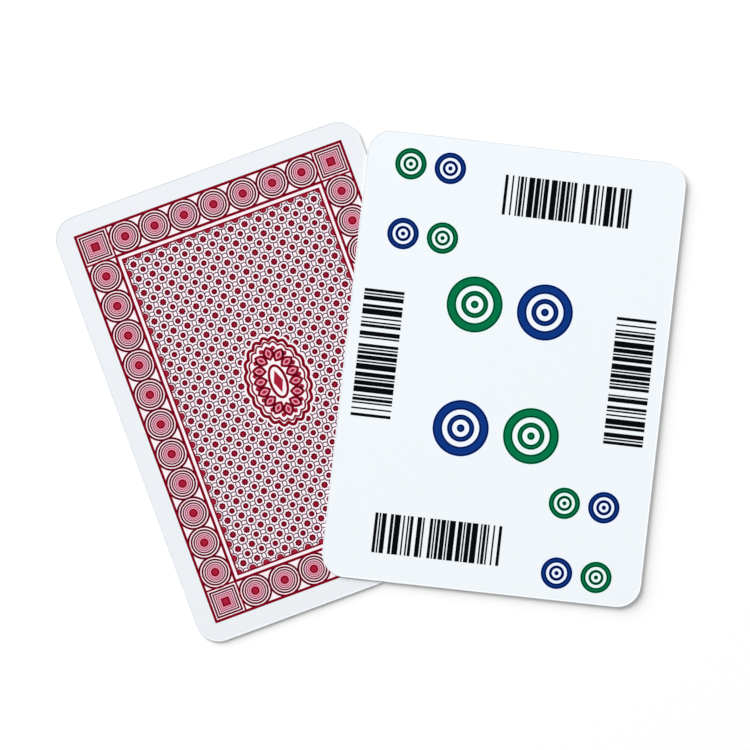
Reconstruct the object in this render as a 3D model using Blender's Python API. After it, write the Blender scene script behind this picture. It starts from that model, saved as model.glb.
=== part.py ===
# Two plastic playing cards of one pack, the upper one fanned out over the lower one.
# Each card is a laminate of five plastic sheets: film, print sheet, core, print sheet, film.
# Units are metres, +Z is up, and the lower card lies on the XY plane.

import math

import bmesh
import bpy

# One card
CARD_WIDTH = 0.063
CARD_HEIGHT = 0.088
CORNER_RADIUS = 0.0047
CORNER_SEGMENTS = 16

# The sheets that are laminated into a card
FILM_THICKNESS = 0.00004
PRINT_THICKNESS = 0.00006
CORE_THICKNESS = 0.00010

# How the two cards lie: the lower one shows its back, the upper one its face
LOWER_TURN = math.radians(20.14)
UPPER_TURN = math.radians(-6.47)
SPREAD_ACROSS = 0.0443
SPREAD_ALONG = 0.0024
AIR_GAP = 0.00005

# Sheets from the bottom of a card to its top
SHEETS_FACE_DOWN = ("face_film", "face_print", "core", "back_print", "back_film")
SHEETS_FACE_UP = tuple(reversed(SHEETS_FACE_DOWN))
SHEET_THICKNESS = {
    "face_film": FILM_THICKNESS,
    "face_print": PRINT_THICKNESS,
    "core": CORE_THICKNESS,
    "back_print": PRINT_THICKNESS,
    "back_film": FILM_THICKNESS,
}

# Finish of each sheet: colour as 8-bit sRGB, roughness and opacity
SHEET_FINISH = {
    "face_film": ((243, 248, 252), 0.25, 0.25),
    "face_print": ((243, 248, 252), 0.45, 1.0),
    "core": ((236, 241, 245), 0.55, 1.0),
    "back_print": ((206, 122, 142), 0.45, 1.0),
    "back_film": ((243, 248, 252), 0.25, 0.25),
}


def linear(colour):
    """Turn an 8-bit sRGB colour into linear values."""
    shares = [channel / 255 for channel in colour]
    return [s / 12.92 if s <= 0.04045 else ((s + 0.055) / 1.055) ** 2.4 for s in shares]


def sheet_material(node, sheet):
    """A plastic with the sheet's own colour, roughness and opacity."""
    colour, roughness, opacity = SHEET_FINISH[sheet]
    material = bpy.data.materials.new(node)
    material.use_nodes = True
    shader = material.node_tree.nodes["Principled BSDF"]
    shader.inputs["Base Color"].default_value = (*linear(colour), 1.0)
    shader.inputs["Roughness"].default_value = roughness
    shader.inputs["Metallic"].default_value = 0.0
    shader.inputs["Alpha"].default_value = opacity
    return material


def sheet_mesh(node, bottom, top):
    """A flat sheet with rounded corners between two heights, centred on the card."""
    bm = bmesh.new()
    bmesh.ops.create_grid(bm, x_segments=1, y_segments=1, size=0.5)
    bmesh.ops.scale(bm, vec=(CARD_WIDTH, CARD_HEIGHT, 1.0), verts=bm.verts)
    bmesh.ops.bevel(
        bm,
        geom=bm.verts[:],
        offset=CORNER_RADIUS,
        offset_type="OFFSET",
        segments=CORNER_SEGMENTS,
        profile=0.5,
        affect="VERTICES",
    )
    for vert in bm.verts:
        vert.co.z = bottom
    raised = bmesh.ops.extrude_face_region(bm, geom=bm.faces[:])
    for item in raised["geom"]:
        if isinstance(item, bmesh.types.BMVert):
            item.co.z = top
    bmesh.ops.recalc_face_normals(bm, faces=bm.faces)
    mesh = bpy.data.meshes.new(node)
    bm.to_mesh(mesh)
    bm.free()
    return mesh


def add_empty(name, place, turn, parent=None):
    """A guide that carries a card, turned about the vertical."""
    empty = bpy.data.objects.new(name, None)
    empty.location = place
    empty.rotation_euler = (0.0, 0.0, turn)
    empty.parent = parent
    bpy.context.scene.collection.objects.link(empty)
    return empty


def add_card(card, carrier, sheets, base):
    """Stack the sheets of one card from its base height upwards."""
    bottom = base
    for sheet in sheets:
        top = bottom + SHEET_THICKNESS[sheet]
        node = f"{card}_{sheet}"
        solid = bpy.data.objects.new(node, sheet_mesh(node, bottom, top))
        solid.data.materials.append(sheet_material(node, sheet))
        solid.parent = carrier
        bpy.context.scene.collection.objects.link(solid)
        bottom = top
    return bottom


def half_extent(turn):
    """Half the width and depth that a turned card covers on the table."""
    straight_x = CARD_WIDTH / 2 - CORNER_RADIUS
    straight_y = CARD_HEIGHT / 2 - CORNER_RADIUS
    cosine = abs(math.cos(turn))
    sine = abs(math.sin(turn))
    across = straight_x * cosine + straight_y * sine + CORNER_RADIUS
    along = straight_x * sine + straight_y * cosine + CORNER_RADIUS
    return across, along


def middle(low_a, high_a, low_b, high_b):
    """Middle of the stretch that two stretches cover together."""
    return (min(low_a, low_b) + max(high_a, high_b)) / 2


def card_centres():
    """Centres of the lower and the upper card, with the pair's box centred on the origin."""
    lower_x, lower_y = half_extent(LOWER_TURN)
    upper_x, upper_y = half_extent(UPPER_TURN)
    box_x = middle(-lower_x, lower_x, SPREAD_ACROSS - upper_x, SPREAD_ACROSS + upper_x)
    box_y = middle(-lower_y, lower_y, SPREAD_ALONG - upper_y, SPREAD_ALONG + upper_y)
    lower = (-box_x, -box_y)
    upper = (SPREAD_ACROSS - box_x, SPREAD_ALONG - box_y)
    return lower, upper


def fan_centre(lower, upper):
    """The point about which one turn carries the lower card's place onto the upper card's."""
    half_turn = (UPPER_TURN - LOWER_TURN) / 2
    reach = 1 / (2 * math.tan(half_turn))
    step_x = upper[0] - lower[0]
    step_y = upper[1] - lower[1]
    centre_x = (lower[0] + upper[0]) / 2 - reach * step_y
    centre_y = (lower[1] + upper[1]) / 2 + reach * step_x
    return centre_x, centre_y


def build_pair():
    """The lower card on the table and the upper card on its fan pivot."""
    lower, upper = card_centres()
    lower_carrier = add_empty("lower_card", (*lower, 0.0), LOWER_TURN)
    lower_top = add_card("lower_card", lower_carrier, SHEETS_FACE_DOWN, 0.0)

    pivot = fan_centre(lower, upper)
    fan_pivot = add_empty("fan_pivot", (*pivot, 0.0), 0.0)
    upper_place = (upper[0] - pivot[0], upper[1] - pivot[1], 0.0)
    upper_carrier = add_empty("upper_card", upper_place, UPPER_TURN, fan_pivot)
    add_card("upper_card", upper_carrier, SHEETS_FACE_UP, lower_top + AIR_GAP)


for old in list(bpy.data.objects):
    bpy.data.objects.remove(old, do_unlink=True)
build_pair()
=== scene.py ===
# The looks of two plastic playing cards, the upper one fanned out over the lower one.
# The solid sheets give each card's size and place. Here the clear films get their cut edge,
# and every ink of the face and the back is laid into the film as a thin raised shape.

import math
import random
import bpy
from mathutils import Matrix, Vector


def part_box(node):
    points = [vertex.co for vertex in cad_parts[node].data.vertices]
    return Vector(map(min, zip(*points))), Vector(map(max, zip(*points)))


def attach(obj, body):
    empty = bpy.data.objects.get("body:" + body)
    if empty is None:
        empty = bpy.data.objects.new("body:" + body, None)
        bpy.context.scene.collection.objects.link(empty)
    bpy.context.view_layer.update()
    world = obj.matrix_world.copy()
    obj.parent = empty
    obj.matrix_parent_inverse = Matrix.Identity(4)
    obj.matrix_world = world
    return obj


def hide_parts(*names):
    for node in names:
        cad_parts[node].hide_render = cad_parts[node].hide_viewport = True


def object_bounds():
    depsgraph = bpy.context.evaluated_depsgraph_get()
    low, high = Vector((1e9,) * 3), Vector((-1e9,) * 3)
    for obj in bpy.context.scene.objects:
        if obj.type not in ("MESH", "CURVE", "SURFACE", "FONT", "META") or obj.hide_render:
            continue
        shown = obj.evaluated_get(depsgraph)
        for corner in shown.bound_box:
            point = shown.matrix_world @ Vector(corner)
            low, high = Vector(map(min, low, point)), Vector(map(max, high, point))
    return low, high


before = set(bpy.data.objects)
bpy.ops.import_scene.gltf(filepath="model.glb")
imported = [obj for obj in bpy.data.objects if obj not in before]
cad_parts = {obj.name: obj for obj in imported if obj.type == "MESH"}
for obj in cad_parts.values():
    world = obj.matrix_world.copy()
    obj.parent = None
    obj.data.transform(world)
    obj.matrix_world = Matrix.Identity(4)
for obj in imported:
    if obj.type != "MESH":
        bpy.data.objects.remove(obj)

from types import SimpleNamespace

import bpy
from mathutils import Matrix, Vector

SOLID_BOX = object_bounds()
MM = 0.001
ORIGIN = (0.0, 0.0, 0.0)

# Tolerances for cutting a mesh and for finding a card's corners
CUT_TOLERANCE = 1e-9
PLACE_TOLERANCE = 1e-6

# How far a normal points up, at most on an upright wall and at least on a flat top
WALL_RISE = 0.6
TOP_RISE = 0.9

# The photograph's frame, seen from above and a little from the left
PHOTO_PIXELS = 750
PIXEL = 0.1956 * MM
VIEW_MIDDLE = (0.55 * MM, 1.235 * MM)
CAMERA_LEAN = math.radians(1.96)
LENS = 100.0
SENSOR = 36.0

# The overlay film: a lip along the cut edge, and a bed inside it that the inks lie in
LIP_WIDTH = 0.14 * MM
LIP_SLOPE = 0.05 * MM
LIP_ROUND = 0.012 * MM
LIP_SEGMENTS = 2
SMOOTH_ANGLE = math.radians(35)
BED_HEIGHT = 0.004 * MM
CORNER_SEGMENTS = 16

# How high each ink stands over the print sheet, from the first one printed to the last
INK_FOOT = 0.003 * MM
PAGE_LEVEL = 0.006 * MM
GROUND_LEVEL = 0.008 * MM
TINT_LEVEL = 0.010 * MM
TINT_STEP = 0.002 * MM
FINE_LEVEL = 0.014 * MM
CROSS_LEVEL = 0.016 * MM
SOLID_LEVEL = 0.019 * MM
HOOP_LEVEL = 0.022 * MM
FRAME_LEVEL = 0.024 * MM
MEDAL_LEVEL = 0.027 * MM
MEDAL_STEP = 0.003 * MM
NEIGHBOUR_STEP = 0.0005 * MM

# Face: ring pips, each band given by its outer and inner radius
# The ink has a thin fringe and a dense rim, and it is plain where it lies deeper than PLAIN_DEPTH
# A group of four pips is given by its middle and half its spread
PIP_BANDS = ((5.52 * MM, 3.636 * MM), (2.686 * MM, 1.665 * MM))
PIP_EYE = 0.775 * MM
PIP_FRINGE = 0.072 * MM
PIP_RIM = 0.345 * MM
PLAIN_DEPTH = 0.45 * MM
PIP_SIDES = 96
SMALL_PIP = 0.5625
LARGE_GROUPS = ((-0.32 * MM, -0.28 * MM, 6.95 * MM, 12.2 * MM),)
SMALL_GROUPS = (
    (-18.90 * MM, 30.985 * MM, 3.89 * MM, 6.87 * MM),
    (18.57 * MM, -31.74 * MM, 3.91 * MM, 6.89 * MM),
)

# Face: bar codes, each placed by its middle and its turn
CODE_LENGTH = 25.0 * MM
CODE_HEIGHT = 7.85 * MM
CODE_SYMBOLS = 7
SYMBOL_MODULES = 11
SYMBOL_STRIPES = 6
STRIPE_MODULES = (1, 4)
STOP_WIDTHS = (2, 3, 3, 1, 1, 1, 2)
CODE_SEED = 25
INK_SPREAD = 0.04 * MM
CODE_PLACES = (
    (8.50 * MM, 34.0 * MM, 0.0),
    (-9.45 * MM, -34.6 * MM, math.pi),
    (-25.1 * MM, 0.2 * MM, math.pi / 2),
    (24.8 * MM, 0.2 * MM, -math.pi / 2),
)

# Back: the border of ringed discs, each ring given by its radius and its line
DISC_PITCH_X = 6.10 * MM
DISC_PITCH_Y = 6.148 * MM
DISCS_ACROSS = 7
DISCS_DOWN = 11
BAND_X = 24.42 * MM
BAND_Y = 36.84 * MM
BAND_HALF = 3.09 * MM
BORDER_LINE = 0.52 * MM
DIVIDER_LINE = 0.36 * MM
DISC_SIDES = 40
DISC_EYE = 0.84 * MM
EYE_RIM = 0.29 * MM
DISC_TINT = 1.335 * MM
DISC_PALE = 1.85 * MM
DISC_GROUND = 2.95 * MM
ROSE_RINGS = ((1.205 * MM, 0.105 * MM), (1.54 * MM, 0.21 * MM))
DARK_RINGS = ((1.97 * MM, 0.28 * MM), (2.47 * MM, 0.355 * MM))
HOOP_RADIUS = 3.095 * MM
HOOP_LINE = 0.41 * MM

# Back: the lattice field
FIELD_HALF_X = 20.34 * MM
FIELD_HALF_Y = 32.72 * MM
FIELD_LINE = 0.36 * MM
CELLS_ACROSS = 14
CELLS_DOWN = 22
CELL_X = 2.880 * MM
CELL_Y = 2.957 * MM
LATTICE_MIDDLE = (0.055 * MM, 0.055 * MM)
STAR_TIP = 0.74 * MM
STAR_NOTCH = 0.59 * MM
STAR_POINTS = 8
STAR_RIM = 0.34 * MM
DOT_RADIUS = 0.57 * MM
DOT_RIM = 0.38 * MM
DOT_SIDES = 14
EDGE_DOT = 0.72 * MM
EDGE_DOT_RIM = 0.20 * MM
LOOP_RADIUS = 0.925 * MM
LOOP_LINE = 0.21 * MM
LOOP_BULGE = 0.15
LOOP_SIDES = 12
OVAL_LONG = 0.65 * MM
OVAL_SHORT = 0.43 * MM
OVAL_CUT = 0.52 * MM
OVAL_LINE = 0.19 * MM

# Back: the medallion in the middle, an oval rosette
# The lattice reaches a little way under it: solid inks and lines are cleared in ovals that are smaller
# A band is given by its distance from the edge and its line, and a leaf by its length and width
MEDAL_HALF_X = 6.9 * MM
MEDAL_HALF_Y = 9.6 * MM
SOLID_CLEAR = -0.30 * MM
LINE_CLEAR = -0.9 * MM
MEDAL_LOBES = 20
MEDAL_SIDES = 240
LOBE_DEPTH = 0.06
MEDAL_BANDS = ((0.40 * MM, 0.62 * MM), (1.35 * MM, 0.36 * MM))
LEAF_COUNT = 14
LEAF_RING = (3.36 * MM, 5.75 * MM)
LEAF_SIZES = ((3.0 * MM, 2.3 * MM), (1.85 * MM, 1.2 * MM), (1.15 * MM, 0.62 * MM))
DART_RING = (4.25 * MM, 6.75 * MM)
DART_SIZE = (1.1 * MM, 1.0 * MM)
LEAF_SIDES = 20
EYE_OVALS = ((1.85 * MM, 3.5 * MM), (1.3 * MM, 2.95 * MM))
EYE_SIDES = 60
LOZENGE = (0.95 * MM, 2.3 * MM)
ARC_STEPS = 720

# Colours as 8-bit sRGB
SHEET_WHITE = (243, 248, 252)
BACK_WHITE = (237, 241, 245)
# The cut edges of film, print sheet and core are painted grey, darker than the white plastic: painted shade,
# which also keeps them from throwing light onto the card below
SHADED_EDGE_GREY = (182, 188, 196)
SHADED_CORE_GREY = (172, 177, 184)
GROUND_WHITE = (253, 241, 247)
DISC_WHITE = (255, 233, 243)
PALE_PINK = (250, 204, 224)
PINK = (229, 147, 170)
ROSE = (135, 47, 66)
RED = (168, 30, 57)
DEEP_RED = (130, 0, 27)
RIM_RED = (112, 2, 28)
HOOP_RED = (98, 0, 20)
DARK_RED = (88, 0, 6)
LATTICE_DARK = (80, 2, 52)
GREEN = (2, 117, 71)
DEEP_GREEN = (0, 54, 30)
THIN_GREEN = (10, 190, 132)
BLUE = (12, 54, 131)
DEEP_BLUE = (1, 8, 60)
THIN_BLUE = (18, 88, 198)
BLACK = (7, 8, 10)

# The surface of the plastic: clouds in its colour, grain in its gloss and a pebbled surface
CLOUD_SIZE = 3.0 * MM
CLOUD_DETAIL = 4.0
CLOUD_SHARE = 0.6
CLOUD_GLOSS = 0.08
GRAIN_SIZE = 0.16 * MM
GRAIN_DETAIL = 2.0
GRAIN_SHARE = 0.4
GRAIN_GLOSS = 0.04
PEBBLE_DEPTH = 0.004 * MM
PEBBLE_STRENGTH = 0.12
COAT_ROUGHNESS = 0.18
COAT_IOR = 1.2
NOISE_MIDDLE = 0.5

# Studio light, as shares of the light that shows a colour as it is written
WORLD_SHARE = 0.20
KEY_SHARE = 0.63
TOP_SHARE = 0.16
LAMP_STEPS = 12
SKY_WHITE = (1.0, 1.0, 1.0, 1.0)

# The floor just under the cards, which fades to white between two distances from the middle
FLOOR_WHITE = 0.93
FLOOR_LIFT = 0.10
FLOOR_DROP = 0.25 * MM
FLOOR_SIDE = 1.4
FLOOR_FADE = (0.115, 0.24)


# Shader sockets and materials


def linear(colour):
    """Turn an 8-bit sRGB colour into linear values with an opaque alpha."""
    shares = [channel / 255 for channel in colour]
    values = [s / 12.92 if s <= 0.04045 else ((s + 0.055) / 1.055) ** 2.4 for s in shares]
    return (*values, 1.0)


class Wire:
    """A shader socket that can be used in sums: each operator adds a Math node."""

    def __init__(self, finish, socket):
        self.finish = finish
        self.socket = socket

    def math(self, operation, first, second):
        return self.finish.node("ShaderNodeMath", {"operation": operation}, {0: first, 1: second})

    def __add__(self, other):
        return self.math("ADD", self, other)

    def __radd__(self, other):
        return self.math("ADD", other, self)

    def __sub__(self, other):
        return self.math("SUBTRACT", self, other)

    def __rsub__(self, other):
        return self.math("SUBTRACT", other, self)

    def __mul__(self, other):
        return self.math("MULTIPLY", self, other)

    def __rmul__(self, other):
        return self.math("MULTIPLY", other, self)

    def __gt__(self, other):
        return self.math("GREATER_THAN", self, other)


class Finish:
    """A node tree in the making."""

    def __init__(self, owner):
        owner.use_nodes = True
        self.owner = owner
        self.tree = owner.node_tree
        self.tree.nodes.clear()

    def node(self, kind, settings=None, sockets=None, output=0):
        """Add a node, set it up, fill its sockets and hand back one of its outputs, if it has any."""
        made = self.tree.nodes.new(kind)
        for setting, value in (settings or {}).items():
            setattr(made, setting, value)
        for socket, value in (sockets or {}).items():
            if isinstance(value, Wire):
                self.tree.links.new(value.socket, made.inputs[socket])
            else:
                made.inputs[socket].default_value = value
        return Wire(self, made.outputs[output]) if made.outputs else None

    def noise(self, size, detail):
        """Noise on the piece's own coordinates, with spots of about the given size."""
        place = self.node("ShaderNodeTexCoord", output="Object")
        sockets = {"Vector": place, "Scale": 1.0 / size, "Detail": detail}
        return self.node("ShaderNodeTexNoise", sockets=sockets)

    def blend(self, share, first, second):
        """A colour between two colours, which are sockets 6 and 7 of a Mix node."""
        sockets = {0: share, 6: first, 7: second}
        return self.node("ShaderNodeMix", {"data_type": "RGBA"}, sockets, output=2)


def scaled(colour, factor):
    """A linear colour made lighter or darker."""
    red, green, blue, alpha = colour
    return (red * factor, green * factor, blue * factor, alpha)


def plastic_finish(name, colour, spread, roughness, shine, coat):
    """Printed or plain plastic: cloudy colour, fine grain in the gloss and a faint pebbled surface."""
    finish = Finish(bpy.data.materials.new(name))
    base = linear(colour)
    clouds = finish.noise(CLOUD_SIZE, CLOUD_DETAIL)
    grain = finish.noise(GRAIN_SIZE, GRAIN_DETAIL)
    share = clouds * CLOUD_SHARE + grain * GRAIN_SHARE
    shade = finish.blend(share, scaled(base, 1 - spread), scaled(base, 1 + spread))
    cloud_gloss = (clouds - NOISE_MIDDLE) * CLOUD_GLOSS
    grain_gloss = (grain - NOISE_MIDDLE) * GRAIN_GLOSS
    gloss = roughness + cloud_gloss + grain_gloss
    bump_sockets = {"Strength": PEBBLE_STRENGTH, "Distance": PEBBLE_DEPTH, "Height": grain}
    bump = finish.node("ShaderNodeBump", sockets=bump_sockets)
    sockets = {
        "Base Color": shade,
        "Roughness": gloss,
        "Normal": bump,
        "Specular IOR Level": shine,
        "Coat Weight": coat,
        "Coat Roughness": COAT_ROUGHNESS,
        "Coat IOR": COAT_IOR,
    }
    plastic = finish.node("ShaderNodeBsdfPrincipled", sockets=sockets)
    finish.node("ShaderNodeOutputMaterial", sockets={"Surface": plastic})
    return finish.owner


def ink_finish(name, colour, spread=0.05):
    """A coloured ink under the film."""
    return plastic_finish(name, colour, spread, roughness=0.42, shine=0.012, coat=0.05)


def pip_finishes(name, plain, deep, thin):
    """The three tones of a pip's ink."""
    return ink_finish(name, plain), ink_finish(f"{name}_rim", deep), ink_finish(f"{name}_fringe", thin)


# Modelling


def pick(*shapes):
    """Select these shapes alone, the first of them active."""
    bpy.ops.object.select_all(action="DESELECT")
    for shape in shapes:
        shape.select_set(True)
    bpy.context.view_layer.objects.active = shapes[0]


def open_all(shape):
    """Open a shape in edit mode with all its faces selected."""
    pick(shape)
    bpy.ops.object.mode_set(mode="EDIT")
    bpy.ops.mesh.select_mode(type="FACE")
    bpy.ops.mesh.select_all(action="SELECT")


def open_faces(shape, wanted):
    """Open a shape in edit mode with only the wanted faces selected."""
    open_all(shape)
    bpy.ops.mesh.select_all(action="DESELECT")
    bpy.ops.object.mode_set(mode="OBJECT")
    for face in shape.data.polygons:
        face.select = wanted(face)
    bpy.ops.object.mode_set(mode="EDIT")


def close():
    """Leave edit mode."""
    bpy.ops.object.mode_set(mode="OBJECT")


def settle(shape):
    """Put a shape's place, turn and scale into its mesh."""
    pick(shape)
    bpy.ops.object.transform_apply(location=True, rotation=True, scale=True)
    return shape


def flat_oval(half_x, half_y, sides):
    """A flat filled oval."""
    bpy.ops.mesh.primitive_circle_add(vertices=sides, radius=1.0, fill_type="NGON", location=ORIGIN)
    shape = bpy.context.object
    shape.scale = (half_x, half_y, 1.0)
    return settle(shape)


def flat_disc(radius, sides):
    """A flat filled disc."""
    return flat_oval(radius, radius, sides)


def flat_box(width, height, at=(0.0, 0.0)):
    """A flat filled rectangle."""
    bpy.ops.mesh.primitive_plane_add(size=1.0, location=(*at, 0.0))
    shape = bpy.context.object
    shape.scale = (width, height, 1.0)
    return settle(shape)


def hollowed(shape, *bands):
    """Inset a flat shape by each band in turn, then take out what is left in the middle."""
    open_all(shape)
    for band in bands:
        bpy.ops.mesh.inset(thickness=band)
    bpy.ops.mesh.delete(type="FACE")
    close()
    return shape


def ring(radius, line, sides):
    """A flat ring whose line is centred on the radius."""
    return hollowed(flat_disc(radius + line / 2, sides), line)


def box_ring(half_x, half_y, line):
    """A flat rectangular ring whose line is centred on the half sizes."""
    return hollowed(flat_box(2 * half_x + line, 2 * half_y + line), line)


def joined(shapes):
    """Several shapes as one mesh."""
    pick(*shapes)
    bpy.ops.object.join()
    return bpy.context.object


def copied(shape, places):
    """Copies of a shape at (x, y, turn), the shape itself taking the first place."""
    copies = [shape]
    for _ in places[1:]:
        pick(shape)
        bpy.ops.object.duplicate(linked=False)
        copies.append(bpy.context.object)
    for copy, (x, y, turn) in zip(copies, places):
        copy.location = (x, y, 0.0)
        copy.rotation_euler = (0.0, 0.0, turn)
    return settle(joined(copies))


def upright(places):
    """Places for copies that are not turned."""
    return [(x, y, 0.0) for x, y in places]


def repeated(shape, count_x, step_x, count_y, step_y, middle):
    """A grid of copies of a shape about a middle."""
    pick(shape)
    for count, step in ((count_x, (step_x, 0.0, 0.0)), (count_y, (0.0, step_y, 0.0))):
        array = shape.modifiers.new("row", "ARRAY")
        array.use_relative_offset = False
        array.use_constant_offset = True
        array.constant_offset_displace = step
        array.count = count
        bpy.ops.object.modifier_apply(modifier=array.name)
    first_x = middle[0] - (count_x - 1) * step_x / 2
    first_y = middle[1] - (count_y - 1) * step_y / 2
    shape.location = (first_x, first_y, 0.0)
    return settle(shape)


def trimmed(shape, half_x, half_y):
    """Cut a flat shape off at the sides of a rectangle."""
    open_all(shape)
    for along, half in (((1.0, 0.0, 0.0), half_x), ((0.0, 1.0, 0.0), half_y)):
        for sign in (1.0, -1.0):
            normal = Vector(along) * sign
            bpy.ops.mesh.select_all(action="SELECT")
            bpy.ops.mesh.bisect(
                plane_co=normal * half, plane_no=normal, clear_outer=True, threshold=CUT_TOLERANCE
            )
    close()
    return shape


def cleared(shape, corners, half_x, half_y):
    """Take out the repeats, each with so many corners, whose middle lies in an oval."""
    places = [corner.co.copy() for corner in shape.data.vertices]
    doomed = set()
    for first in range(0, len(places), corners):
        repeat = places[first : first + corners]
        middle = sum(repeat, Vector()) / corners
        if (middle.x / half_x) ** 2 + (middle.y / half_y) ** 2 < 1:
            doomed.update(range(first, first + corners))
    open_faces(shape, lambda face: face.vertices[0] in doomed)
    bpy.ops.mesh.delete(type="VERT")
    close()
    return shape


def raised(shape, top):
    """Turn a flat shape into a closed ink slab from the ink's foot to its top."""
    open_all(shape)
    bpy.ops.transform.translate(value=(0.0, 0.0, INK_FOOT))
    bpy.ops.mesh.extrude_region_move(TRANSFORM_OT_translate={"value": (0.0, 0.0, top - INK_FOOT)})
    bpy.ops.mesh.select_all(action="SELECT")
    bpy.ops.mesh.normals_make_consistent(inside=False)
    close()
    return shape


def finished(shape, name, finish=None):
    """Name a shape and, unless it is toned already, give it its finish."""
    shape.name = name
    shape.data.name = name
    if finish:
        shape.data.materials.clear()
        shape.data.materials.append(finish)
    return shape


def toned(shape, tones, choose):
    """Give each face of a shape the tone whose number is chosen for it; no and yes count as 0 and 1."""
    for tone in tones:
        shape.data.materials.append(tone)
    for face in shape.data.polygons:
        face.material_index = int(choose(face))
    return shape


def is_quad(face):
    """Whether a face is one of the four-cornered ones that an inset leaves along an edge."""
    return len(face.vertices) == 4


def rimmed(shape, rim, tones):
    """Split a flat shape with many corners into a middle and a rim of another tone."""
    open_all(shape)
    bpy.ops.mesh.inset(thickness=rim)
    close()
    return toned(shape, tones, is_quad)


# Where the cards lie


def is_wall(face):
    """Whether a face stands upright, as on the cut edge of a card."""
    return abs(face.normal.z) < WALL_RISE


def read_card(name):
    """A card's place, half sizes, corner radius and middle, read from its core."""
    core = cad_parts[f"{name}_core"].data
    widest = max(filter(is_wall, core.polygons), key=lambda face: face.area)
    turn = math.atan(widest.normal.y / widest.normal.x)
    low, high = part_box(f"{name}_core")
    middle = (low + high) / 2
    unturn = Matrix.Rotation(-turn, 4, "Z")
    corners = [unturn @ (vertex.co - middle) for vertex in core.vertices]
    half_x = max(corner.x for corner in corners)
    half_y = max(corner.y for corner in corners)
    straight = max(corner.y for corner in corners if corner.x > half_x - PLACE_TOLERANCE)
    place = Matrix.Translation((middle.x, middle.y, 0.0)) @ Matrix.Rotation(turn, 4, "Z")
    return SimpleNamespace(
        name=name, place=place, half_x=half_x, half_y=half_y, corner=half_y - straight, middle=middle
    )


def side_place(card, side):
    """The place of a card's face or back side, with the print sheet's outer surface at zero."""
    low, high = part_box(f"{card.name}_{side}_print")
    if low.z > card.middle.z:
        return card.place @ Matrix.Translation((0.0, 0.0, high.z))
    return card.place @ Matrix.Translation((0.0, 0.0, low.z)) @ Matrix.Rotation(math.pi, 4, "Y")


def lay(master, name, card, side):
    """Copy a finished shape onto one side of a card."""
    pick(master)
    bpy.ops.object.duplicate(linked=False)
    piece = bpy.context.object
    piece.name = f"{card.name}_{name}"
    piece.data.name = piece.name
    piece.matrix_world = side_place(card, side)
    settle(piece)
    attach(piece, card.name)
    return piece


# The overlay film


def overlay_film(card, tones):
    """The clear film with its cut edge: a lip all round, and a bed just over the print sheet."""
    low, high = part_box(f"{card.name}_face_film")
    thickness = high.z - low.z

    def is_top(face):
        return face.normal.z > TOP_RISE and face.center.z > thickness / 2

    film = flat_box(2 * card.half_x, 2 * card.half_y)
    open_all(film)
    bpy.ops.mesh.select_mode(type="VERT")
    bpy.ops.mesh.bevel(offset=card.corner, segments=CORNER_SEGMENTS, affect="VERTICES")
    bpy.ops.mesh.select_mode(type="FACE")
    bpy.ops.mesh.select_all(action="SELECT")
    bpy.ops.mesh.extrude_region_move(TRANSFORM_OT_translate={"value": (0.0, 0.0, thickness)})
    bpy.ops.mesh.select_all(action="SELECT")
    bpy.ops.mesh.normals_make_consistent(inside=False)
    close()
    open_faces(film, is_top)
    bpy.ops.mesh.region_to_loop()
    bpy.ops.mesh.bevel(offset=LIP_ROUND, segments=LIP_SEGMENTS, affect="EDGES")
    close()
    open_faces(film, lambda face: is_top(face) and len(face.vertices) > 4)
    bpy.ops.mesh.inset(thickness=LIP_WIDTH)
    bpy.ops.mesh.inset(thickness=LIP_SLOPE)
    bpy.ops.transform.translate(value=(0.0, 0.0, BED_HEIGHT - thickness))
    close()
    # The upright cut edge and the steep part of the lip's rounding take the second tone, the grey of painted
    # shade
    toned(film, tones, is_wall)
    bpy.ops.object.shade_smooth_by_angle(angle=SMOOTH_ANGLE)
    return finished(film, "overlay")


# The face print


def pip_places(groups, sign):
    """Places of the pips of one colour: along one diagonal of each group of four."""
    places = []
    for x, y, half_x, half_y in groups:
        for side in (1, -1):
            places.append((x + side * half_x, y + sign * side * half_y))
    return places


def pip_tone(depth):
    """The number of a pip's tone at a depth inside its edge: plain, dense or thin ink."""
    if depth > PLAIN_DEPTH:
        return 0
    return 1 if depth > PIP_FRINGE else 2


def pip_eye(radius, tones):
    """The filled middle of a ring pip."""
    eye = flat_disc(radius, PIP_SIDES // 2)
    open_all(eye)
    bpy.ops.mesh.inset(thickness=PIP_FRINGE)
    bpy.ops.mesh.inset(thickness=PIP_RIM - PIP_FRINGE)
    close()
    return toned(eye, tones, lambda face: pip_tone(radius - face.center.xy.length))


def pip_band(outer, inner, tones):
    """One flat ring of a ring pip."""
    width = outer - inner
    middle = (outer + inner) / 2
    rim = min(PIP_RIM, width / 3)
    edge = (PIP_FRINGE, rim - PIP_FRINGE)
    band = hollowed(flat_disc(outer, PIP_SIDES), *edge, width - 2 * rim, *reversed(edge))
    return toned(band, tones, lambda face: pip_tone(width / 2 - abs(face.center.xy.length - middle)))


def ring_pip(scale, tones):
    """An eye in two flat rings, with dense rims where the ink was squeezed out."""
    shapes = [pip_eye(scale * PIP_EYE, tones)]
    shapes += [pip_band(scale * outer, scale * inner, tones) for outer, inner in PIP_BANDS]
    return joined(shapes)


def ring_pips(name, sign, tones):
    """The ring pips of one colour."""
    large = copied(ring_pip(1.0, tones), upright(pip_places(LARGE_GROUPS, sign)))
    small = copied(ring_pip(SMALL_PIP, tones), upright(pip_places(SMALL_GROUPS, sign)))
    return finished(raised(joined([large, small]), SOLID_LEVEL), name)


def symbol_widths(chance):
    """The widths in modules of the stripes that make up one symbol."""
    while True:
        widths = [chance.randint(*STRIPE_MODULES) for _ in range(SYMBOL_STRIPES)]
        if sum(widths) == SYMBOL_MODULES:
            return widths


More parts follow.
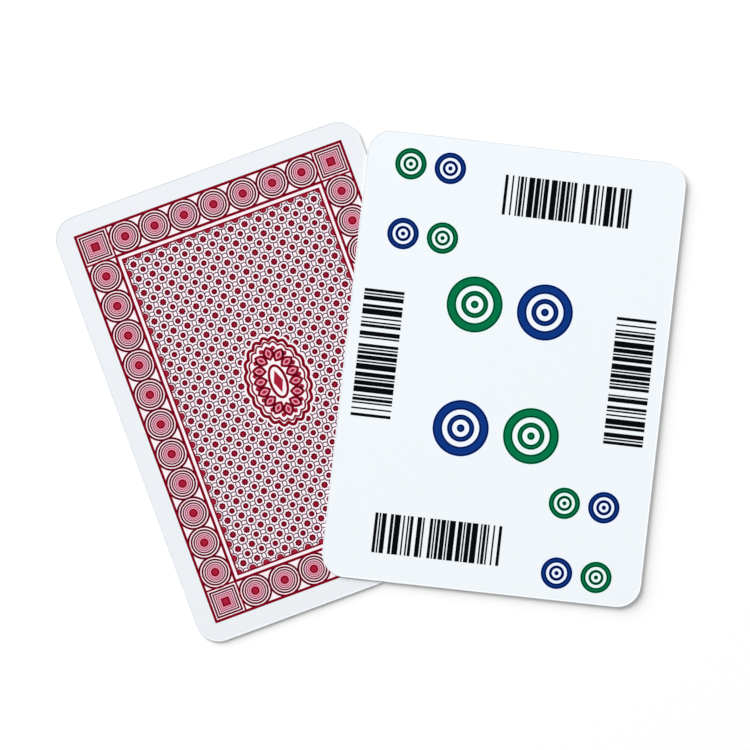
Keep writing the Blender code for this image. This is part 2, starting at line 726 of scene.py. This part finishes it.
def code_bars(finish):
    """Copies of one made-up row of bars; every second stripe is printed."""
    chance = random.Random(CODE_SEED)
    widths = []
    for _ in range(CODE_SYMBOLS):
        widths.extend(symbol_widths(chance))
    widths.extend(STOP_WIDTHS)
    module = CODE_LENGTH / sum(widths)
    bars = []
    left = -CODE_LENGTH / 2
    for index, width in enumerate(widths):
        stripe = width * module
        if index % 2 == 0:
            bars.append(flat_box(stripe + INK_SPREAD, CODE_HEIGHT, (left + stripe / 2, 0.0)))
        left += stripe
    codes = copied(joined(bars), CODE_PLACES)
    return finished(raised(codes, SOLID_LEVEL), "face_code_bars", finish)


# The back print: border


def disc_places():
    """Middles of the ringed discs, row by row along the four sides."""
    places = []
    for sign in (1, -1):
        for index in range(DISCS_ACROSS):
            places.append(((index - (DISCS_ACROSS - 1) / 2) * DISC_PITCH_X, sign * BAND_Y))
        for index in range(DISCS_DOWN):
            places.append((sign * BAND_X, (index - (DISCS_DOWN - 1) / 2) * DISC_PITCH_Y))
    return places


def corner_places():
    """Middles of the four corner squares."""
    return [(x * BAND_X, y * BAND_Y) for x in (1, -1) for y in (1, -1)]


def border_inks(disc, square, level):
    """One ink of the border: a flat disc shape on every disc and a square shape in every corner."""
    discs = copied(disc, upright(disc_places()))
    squares = copied(square, upright(corner_places()))
    return raised(joined([discs, squares]), level)


def border_tint(radius, level):
    """A tint that fills the discs and the corner squares up to a radius."""
    return border_inks(flat_disc(radius, DISC_SIDES), flat_box(2 * radius, 2 * radius), level)


def border_rings(rings, level):
    """Thin nested rings in the discs and nested squares in the corners."""
    discs = joined([ring(radius, line, DISC_SIDES) for radius, line in rings])
    squares = joined([box_ring(half, half, line) for half, line in rings])
    return border_inks(discs, squares, level)


def border_eyes(tones):
    """The solid middle of each disc and corner square, with a dense rim."""
    disc = rimmed(flat_disc(DISC_EYE, DISC_SIDES), EYE_RIM, tones)
    heart_side = 2 * (DISC_EYE - EYE_RIM)
    rim = toned(hollowed(flat_box(2 * DISC_EYE, 2 * DISC_EYE), EYE_RIM), tones, is_quad)
    heart = toned(flat_box(heart_side, heart_side), tones, lambda face: False)
    return finished(border_inks(disc, joined([rim, heart]), SOLID_LEVEL), "back_disc_eyes")


def border_hoops(finish):
    """The outer ring of each disc; neighbours cross, so every second one is a hair higher."""
    places = disc_places()
    rows = []
    for start in (0, 1):
        hoops = copied(ring(HOOP_RADIUS, HOOP_LINE, DISC_SIDES), upright(places[start::2]))
        rows.append(raised(hoops, HOOP_LEVEL + start * NEIGHBOUR_STEP))
    return finished(joined(rows), "back_disc_hoops", finish)


def border_lines(finish):
    """The lines along both sides of the border, the corner dividers and the outline of the field."""
    outer = box_ring(BAND_X + BAND_HALF, BAND_Y + BAND_HALF, BORDER_LINE)
    inner = box_ring(BAND_X - BAND_HALF, BAND_Y - BAND_HALF, BORDER_LINE)
    field = box_ring(FIELD_HALF_X, FIELD_HALF_Y, FIELD_LINE)
    reach = 2 * BAND_HALF - BORDER_LINE
    dividers = []
    for x, y in corner_places():
        inward_x = x - math.copysign(BAND_HALF, x)
        inward_y = y - math.copysign(BAND_HALF, y)
        dividers.append(flat_box(DIVIDER_LINE, reach, (inward_x, y)))
        dividers.append(flat_box(reach, DIVIDER_LINE, (x, inward_y)))
    lines = joined([outer, inner, field, *dividers])
    return finished(raised(lines, FRAME_LEVEL), "back_border_lines", finish)


# The back print: lattice field


def lattice(shape, extra_x, extra_y, level, clear):
    """Repeat a flat shape over the field, clear the medallion's place and cut it off at the outline."""
    corners = len(shape.data.vertices)
    across = CELLS_ACROSS + extra_x
    down = CELLS_DOWN + extra_y
    field = repeated(shape, across, CELL_X, down, CELL_Y, LATTICE_MIDDLE)
    cleared(field, corners, MEDAL_HALF_X + clear, MEDAL_HALF_Y + clear)
    return raised(trimmed(field, FIELD_HALF_X, FIELD_HALF_Y), level)


def lattice_stars(tones):
    """Eight-pointed stars in the middle of the cells."""
    star = flat_disc(STAR_TIP, 2 * STAR_POINTS)
    for index, corner in enumerate(star.data.vertices):
        radius = STAR_TIP if index % 2 else STAR_NOTCH
        corner.co = corner.co.normalized() * radius
    stars = lattice(rimmed(star, STAR_RIM, tones), 0, 0, SOLID_LEVEL, SOLID_CLEAR)
    return finished(stars, "back_lattice_stars")


def edge_places():
    """Middles of the dots that lie on the outline of the lattice."""
    half_x = CELLS_ACROSS * CELL_X / 2
    half_y = CELLS_DOWN * CELL_Y / 2
    places = []
    for sign in (1, -1):
        places += [(sign * half_x, step * CELL_Y - half_y) for step in range(CELLS_DOWN + 1)]
        places += [(step * CELL_X - half_x, sign * half_y) for step in range(1, CELLS_ACROSS)]
    return [(x + LATTICE_MIDDLE[0], y + LATTICE_MIDDLE[1]) for x, y in places]


def lattice_dots(tones):
    """Dots on the corners of the cells, and larger ones along the outline, which cuts them off."""
    dot = rimmed(flat_disc(DOT_RADIUS, DOT_SIDES), DOT_RIM, tones)
    dots = lattice(dot, 1, 1, SOLID_LEVEL, SOLID_CLEAR)
    edge_dot = rimmed(flat_disc(EDGE_DOT, DOT_SIDES), EDGE_DOT_RIM, tones)
    row = trimmed(copied(edge_dot, upright(edge_places())), FIELD_HALF_X, FIELD_HALF_Y)
    return finished(joined([dots, raised(row, SOLID_LEVEL + NEIGHBOUR_STEP)]), "back_lattice_dots")


def lattice_loops(finish):
    """A thin loop round every dot, a circle drawn out a little towards the four nearest stars."""
    loop = flat_disc(LOOP_RADIUS + LOOP_LINE / 2, LOOP_SIDES)
    loop.rotation_euler = (0.0, 0.0, math.pi / LOOP_SIDES)
    settle(loop)
    for corner in loop.data.vertices:
        around = math.atan2(corner.co.y, corner.co.x)
        corner.co *= 1 + LOOP_BULGE * math.sin(2 * around) ** 2
    loops = lattice(hollowed(loop, LOOP_LINE), 1, 1, FINE_LEVEL, LINE_CLEAR)
    return finished(loops, "back_lattice_loops", finish)


def lattice_ovals(finish):
    """Pairs of thin arcs that link each loop to its neighbours."""
    lying = ((OVAL_LONG, OVAL_SHORT), (OVAL_CUT, OVAL_LONG), (0, 1))
    standing = ((OVAL_SHORT, OVAL_LONG), (OVAL_LONG, OVAL_CUT), (1, 0))
    fields = []
    for (half_x, half_y), cuts, extra in (lying, standing):
        oval = flat_oval(half_x + OVAL_LINE / 2, half_y + OVAL_LINE / 2, LOOP_SIDES)
        arcs = trimmed(hollowed(oval, OVAL_LINE), *cuts)
        fields.append(lattice(arcs, *extra, CROSS_LEVEL, LINE_CLEAR))
    return finished(joined(fields), "back_lattice_ovals", finish)


# The back print: medallion


def scalloped(half_x, half_y):
    """A flat oval with a scalloped edge."""
    oval = flat_oval(half_x, half_y, MEDAL_SIDES)
    for corner in oval.data.vertices:
        around = math.atan2(corner.co.y / half_y, corner.co.x / half_x)
        dip = LOBE_DEPTH * (1 - abs(math.cos(around * MEDAL_LOBES / 2)))
        corner.co *= 1 - dip
    return oval


def leaf(length, width):
    """A flat pointed leaf along X."""
    shape = flat_oval(length / 2, width / 2, LEAF_SIDES)
    for corner in shape.data.vertices:
        along = 2 * corner.co.x / length
        corner.co.y *= math.sqrt(max(0.0, 1 - along * along))
    return shape


def leaf_places(half_x, half_y, start):
    """Places at even steps along an oval, each turned to point away from its middle."""
    arcs = [2 * math.pi * step / ARC_STEPS for step in range(ARC_STEPS)]
    speeds = [math.hypot(half_x * math.sin(arc), half_y * math.cos(arc)) for arc in arcs]
    pace = sum(speeds) / LEAF_COUNT
    places = []
    gone = -start * pace
    for arc, speed in zip(arcs, speeds):
        if gone >= len(places) * pace:
            turn = math.atan2(math.sin(arc) / half_y, math.cos(arc) / half_x)
            places.append((half_x * math.cos(arc), half_y * math.sin(arc), turn))
        gone += speed
    return places


def medallion(ground, deep, red, pink):
    """An oval rosette: two scalloped bands, a ring of nested leaves with darts, and a lozenge in an oval."""
    levels = [MEDAL_LEVEL + step * MEDAL_STEP for step in range(4)]
    base = raised(scalloped(MEDAL_HALF_X, MEDAL_HALF_Y), levels[0])
    bands = []
    for inward, line in MEDAL_BANDS:
        bands.append(hollowed(scalloped(MEDAL_HALF_X - inward, MEDAL_HALF_Y - inward), line))
    places = leaf_places(*LEAF_RING, start=0.5)
    outer, middle, inner = (copied(leaf(*size), places) for size in LEAF_SIZES)
    darts = copied(leaf(*DART_SIZE), leaf_places(*DART_RING, start=0.0))
    eye, white = (flat_oval(*halves, sides=EYE_SIDES) for halves in EYE_OVALS)
    lozenge = flat_oval(*LOZENGE, sides=4)
    pale_parts = joined([base, raised(white, levels[2])])
    red_parts = joined([raised(joined([inner, lozenge]), levels[3]), raised(darts, levels[1])])
    return [
        finished(pale_parts, "back_medallion_ground", ground),
        finished(raised(joined([*bands, outer, eye]), levels[1]), "back_medallion_deep", deep),
        finished(raised(middle, levels[2]), "back_medallion_pink", pink),
        finished(red_parts, "back_medallion_red", red),
    ]


# Whole prints


def face_print():
    """Every ink of the face, in card coordinates."""
    green = pip_finishes("green_ink", GREEN, DEEP_GREEN, THIN_GREEN)
    blue = pip_finishes("blue_ink", BLUE, DEEP_BLUE, THIN_BLUE)
    black = plastic_finish("black_ink", BLACK, spread=0.2, roughness=0.5, shine=0.01, coat=0.0)
    return [
        ring_pips("face_green_pips", -1, green),
        ring_pips("face_blue_pips", 1, blue),
        code_bars(black),
    ]


def back_print():
    """Every ink of the back, in card coordinates."""
    ground = ink_finish("ground_white", GROUND_WHITE, spread=0.01)
    blush = ink_finish("disc_white", DISC_WHITE, spread=0.01)
    pale = ink_finish("pale_pink_ink", PALE_PINK)
    pink = ink_finish("pink_ink", PINK)
    rose = ink_finish("rose_ink", ROSE)
    red = ink_finish("red_ink", RED)
    deep = ink_finish("deep_red_ink", DEEP_RED)
    rim = ink_finish("red_ink_rim", RIM_RED)
    maroon = ink_finish("maroon_ink", HOOP_RED)
    dark = ink_finish("dark_red_ink", DARK_RED)
    thin = ink_finish("lattice_ink", LATTICE_DARK)
    page = flat_box(2 * (BAND_X + BAND_HALF), 2 * (BAND_Y + BAND_HALF))
    return [
        finished(raised(page, PAGE_LEVEL), "back_page", ground),
        finished(border_tint(DISC_GROUND, GROUND_LEVEL), "back_disc_grounds", blush),
        finished(border_tint(DISC_PALE, TINT_LEVEL), "back_pale_tints", pale),
        finished(border_tint(DISC_TINT, TINT_LEVEL + TINT_STEP), "back_disc_tints", pink),
        finished(border_rings(ROSE_RINGS, FINE_LEVEL), "back_rose_rings", rose),
        finished(border_rings(DARK_RINGS, FINE_LEVEL), "back_dark_rings", dark),
        border_eyes((red, deep)),
        border_hoops(maroon),
        border_lines(deep),
        lattice_stars((red, rim)),
        lattice_dots((red, rim)),
        lattice_loops(thin),
        lattice_ovals(thin),
        *medallion(ground, deep, red, pink),
    ]


# Stage


def seen_directly(finish):
    """One for camera, glossy and transmission rays, and nothing for the rays that light the object."""
    camera = finish.node("ShaderNodeLightPath", output="Is Camera Ray")
    glossy = finish.node("ShaderNodeLightPath", output="Is Glossy Ray")
    clear = finish.node("ShaderNodeLightPath", output="Is Transmission Ray")
    return (camera + glossy + clear) > 0.5


def build_floor():
    """A plain pale floor that keeps the shadow, and looks white further out."""
    bpy.ops.mesh.primitive_plane_add(size=FLOOR_SIDE, location=(0.0, 0.0, -FLOOR_DROP))
    floor = settle(bpy.context.object)
    floor.name = "floor"
    finish = Finish(bpy.data.materials.new("pale_floor"))
    seen = seen_directly(finish)
    pale = (FLOOR_WHITE, FLOOR_WHITE, FLOOR_WHITE, 1.0)
    matte = finish.node("ShaderNodeBsdfDiffuse", sockets={"Color": pale})
    lift = finish.node("ShaderNodeEmission", sockets={"Strength": seen * FLOOR_LIFT})
    near = finish.node("ShaderNodeAddShader", sockets={0: matte, 1: lift})
    far = finish.node("ShaderNodeEmission", sockets={"Strength": 1.0})
    place = finish.node("ShaderNodeTexCoord", output="Object")
    reach = finish.node("ShaderNodeVectorMath", {"operation": "LENGTH"}, {0: place}, output="Value")
    fade = finish.node(
        "ShaderNodeMapRange",
        {"interpolation_type": "SMOOTHSTEP"},
        {"Value": reach, "From Min": FLOOR_FADE[0], "From Max": FLOOR_FADE[1]},
    )
    both = finish.node("ShaderNodeMixShader", sockets={0: seen * fade, 1: near, 2: far})
    finish.node("ShaderNodeOutputMaterial", sockets={"Surface": both})
    floor.data.materials.append(finish.owner)


def build_world():
    """An even sky that looks white and lights the object with its own share."""
    world = bpy.data.worlds.new("studio")
    bpy.context.scene.world = world
    finish = Finish(world)
    seen = seen_directly(finish)
    strength = WORLD_SHARE + seen * (1 - WORLD_SHARE)
    sky = finish.node("ShaderNodeBackground", sockets={"Color": SKY_WHITE, "Strength": strength})
    finish.node("ShaderNodeOutputWorld", sockets={"Surface": sky})


def add_lamp(name, azimuth, elevation, distance, side, share):
    """A square soft lamp that gives its share of the light on a flat card."""
    flat = math.cos(math.radians(elevation))
    height = math.sin(math.radians(elevation))
    around = math.radians(azimuth)
    toward = Vector((flat * math.cos(around), flat * math.sin(around), height))
    turn = toward.to_track_quat("Z", "Y")
    # What a card at the origin receives from small patches of the lamp, for an energy of pi
    received = 0.0
    steps = [(step + 0.5) / LAMP_STEPS - 0.5 for step in range(LAMP_STEPS)]
    for across in steps:
        for along in steps:
            spot = toward * distance + turn @ Vector((across * side, along * side, 0.0))
            ray = spot.normalized()
            received += ray.z * ray.dot(toward) / spot.length_squared / LAMP_STEPS ** 2
    light = bpy.data.lights.new(name, "AREA")
    light.size = side
    light.energy = share * math.pi ** 2 / received
    lamp = bpy.data.objects.new(name, light)
    lamp.location = toward * distance
    lamp.rotation_euler = turn.to_euler()
    bpy.context.scene.collection.objects.link(lamp)


def build_camera():
    """Above the cards, leaning a little to the left, with the photograph's frame."""
    camera_data = bpy.data.cameras.new("photo_camera")
    camera_data.lens = LENS
    camera_data.sensor_width = SENSOR
    camera = bpy.data.objects.new("photo_camera", camera_data)
    distance = PHOTO_PIXELS * PIXEL * LENS / SENSOR
    aim = Vector((*VIEW_MIDDLE, SOLID_BOX[1][2]))
    toward = Vector((-math.sin(CAMERA_LEAN), 0.0, math.cos(CAMERA_LEAN)))
    camera.location = aim + toward * distance
    camera.rotation_euler = (0.0, -CAMERA_LEAN, 0.0)
    bpy.context.scene.collection.objects.link(camera)
    bpy.context.scene.camera = camera


# Stage, finishes and pieces

bpy.context.scene.view_settings.view_transform = "Standard"
build_camera()
build_world()
build_floor()
add_lamp("key_lamp", azimuth=137.0, elevation=31.0, distance=6.0, side=4.6, share=KEY_SHARE)
add_lamp("top_lamp", azimuth=90.0, elevation=72.0, distance=1.5, side=1.3, share=TOP_SHARE)

film_finishes = {}
for side, white in (("face", SHEET_WHITE), ("back", BACK_WHITE)):
    film_name = f"{side}_film_over_white"
    film_finishes[side] = plastic_finish(film_name, white, spread=0.006, roughness=0.4, shine=0.1, coat=0.06)
# The cut edges get grey finishes: painted shade, darker than the white plastic they are
shaded_edge_finish = plastic_finish("cut_film_edge_painted_shade", SHADED_EDGE_GREY, spread=0.01, roughness=0.3, shine=0.3, coat=0.2)
shaded_sheet_finish = plastic_finish("print_sheet_edge_painted_shade", SHADED_EDGE_GREY, spread=0.02, roughness=0.5, shine=0.2, coat=0.0)
shaded_core_finish = plastic_finish("core_edge_painted_shade", SHADED_CORE_GREY, spread=0.03, roughness=0.55, shine=0.2, coat=0.0)

cards = [read_card("lower_card"), read_card("upper_card")]
overlay = overlay_film(cards[0], (film_finishes["face"], shaded_edge_finish))
prints = {"face": face_print(), "back": back_print()}
for card in cards:
    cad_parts[f"{card.name}_core"].data.materials[0] = shaded_core_finish
    for side, inks in prints.items():
        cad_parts[f"{card.name}_{side}_print"].data.materials[0] = shaded_sheet_finish
        film = lay(overlay, f"{side}_overlay", card, side)
        film.data.materials[0] = film_finishes[side]
        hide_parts(f"{card.name}_{side}_film")
        for ink in inks:
            lay(ink, ink.name, card, side)
for master in (overlay, *prints["face"], *prints["back"]):
    bpy.data.objects.remove(master, do_unlink=True)
